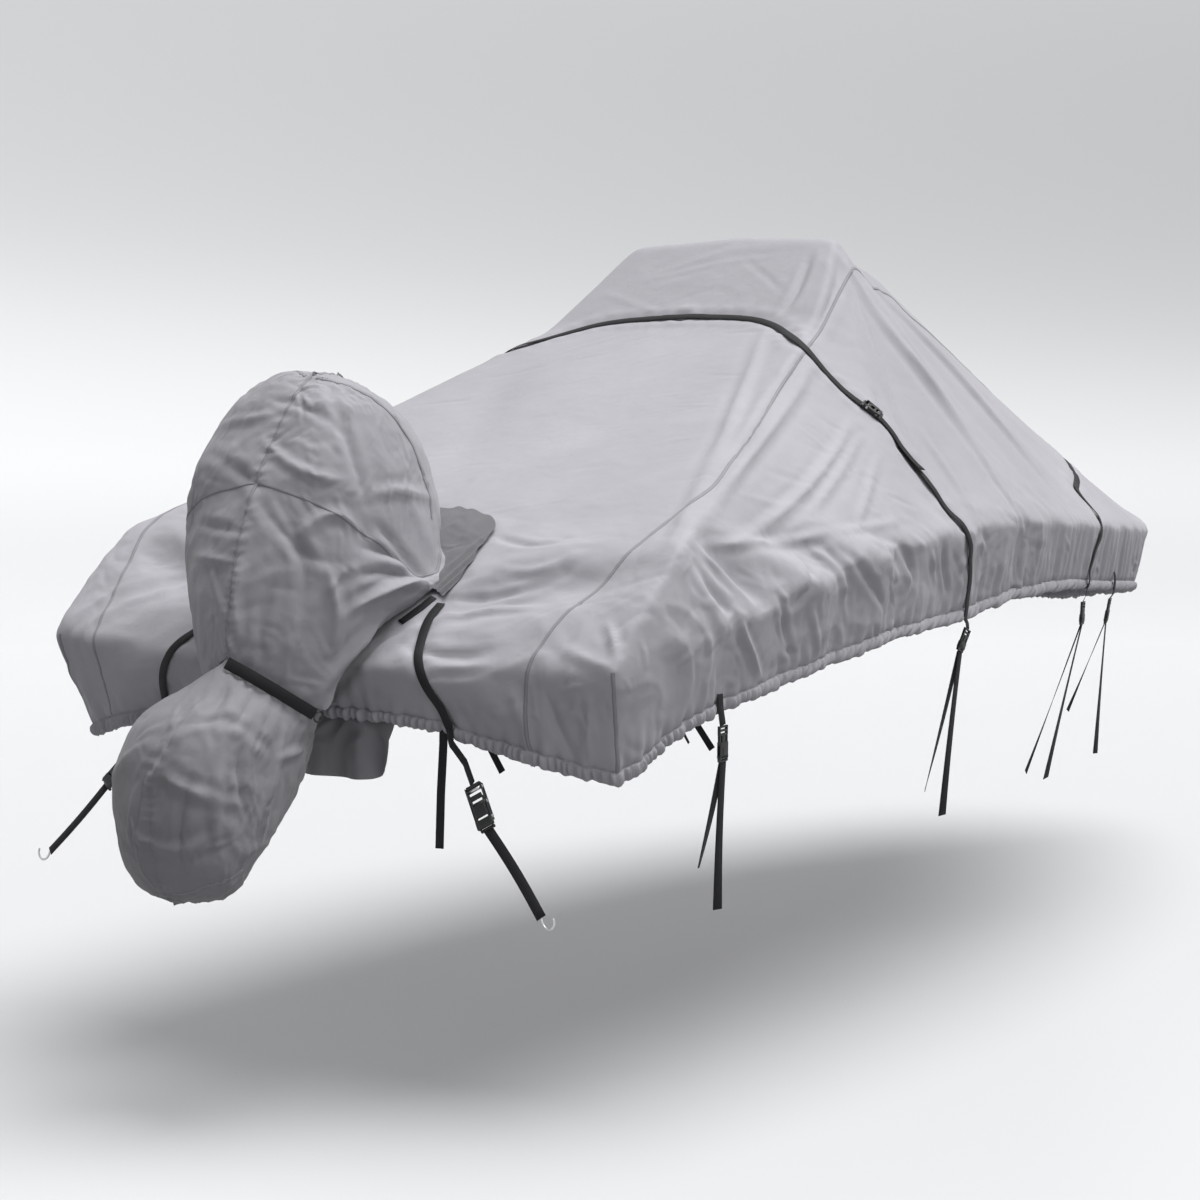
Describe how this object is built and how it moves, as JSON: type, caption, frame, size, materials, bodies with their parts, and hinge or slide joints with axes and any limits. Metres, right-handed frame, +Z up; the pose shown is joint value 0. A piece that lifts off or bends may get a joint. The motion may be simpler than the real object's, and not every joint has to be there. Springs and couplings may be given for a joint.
{
  "type": "boat cover with outboard hood",
  "caption": "Fitted grey cloth boat cover with a raised crown, elastic hem, webbing tie-downs and a matching hood and leg sleeve for an outboard motor.",
  "frame": {"origin": "underside of the crown cloth on the centre line, where the boat's frame holds the cover up", "axes": "+X to starboard, +Y towards the bow, +Z up"},
  "size_m": [1.9888, 5.62, 1.7767],
  "materials": {
    "cover_cloth": "matt coated polyester",
    "webbing": "woven polyester webbing",
    "moulded_plastic": "satin moulded",
    "steel_wire": "plated wire"
  },
  "bodies": {
    "root": {"bow_strap": "webbing", "bow_tie_buckle_port": "moulded_plastic", "bow_tie_buckle_starboard": "moulded_plastic", "bow_tie_leg_aft_port": "webbing", "bow_tie_leg_aft_starboard": "webbing", "bow_tie_leg_fore_port": "webbing", "bow_tie_leg_fore_starboard": "webbing", "cover_centre_panel": "cover_cloth", "cover_port_panel": "cover_cloth", "cover_starboard_panel": "cover_cloth", "crown_strap": "webbing", "crown_strap_buckle": "moulded_plastic", "crown_strap_tail": "webbing", "crown_tie_buckle_port": "moulded_plastic", "crown_tie_buckle_starboard": "moulded_plastic", "crown_tie_leg_aft_port": "webbing", "crown_tie_leg_aft_starboard": "webbing", "crown_tie_leg_fore_port": "webbing", "crown_tie_leg_fore_starboard": "webbing", "hood_crown_port": "cover_cloth", "hood_crown_starboard": "cover_cloth", "hood_front_flap": "cover_cloth", "hood_front_strap": "webbing", "hood_side_port": "cover_cloth", "hood_side_starboard": "cover_cloth", "hood_transom_flap": "cover_cloth", "leg_sleeve_port": "cover_cloth", "leg_sleeve_starboard": "cover_cloth", "quarter_tie_buckle_port": "moulded_plastic", "quarter_tie_buckle_starboard": "moulded_plastic", "quarter_tie_leg_aft_port": "webbing", "quarter_tie_leg_aft_starboard": "webbing", "quarter_tie_leg_fore_port": "webbing", "quarter_tie_leg_fore_starboard": "webbing", "quarter_tie_tab_port": "webbing", "quarter_tie_tab_starboard": "webbing", "stem_tie_buckle_port": "moulded_plastic", "stem_tie_buckle_starboard": "moulded_plastic", "stem_tie_leg_port": "webbing", "stem_tie_leg_starboard": "webbing", "stem_tie_tab_port": "webbing", "stem_tie_tab_starboard": "webbing", "stem_tie_tail_port": "webbing", "stem_tie_tail_starboard": "webbing", "stern_hem_tail_port": "webbing", "stern_hem_tail_starboard": "webbing", "stern_hook_port": "steel_wire", "stern_hook_starboard": "steel_wire", "stern_strap_buckle_port": "moulded_plastic", "stern_strap_buckle_starboard": "moulded_plastic", "stern_strap_lower_port": "webbing", "stern_strap_lower_starboard": "webbing", "stern_strap_port": "webbing", "stern_strap_starboard": "webbing", "waist_ring": "moulded_plastic", "waist_strap": "webbing"}
  },
  "joints": []
}
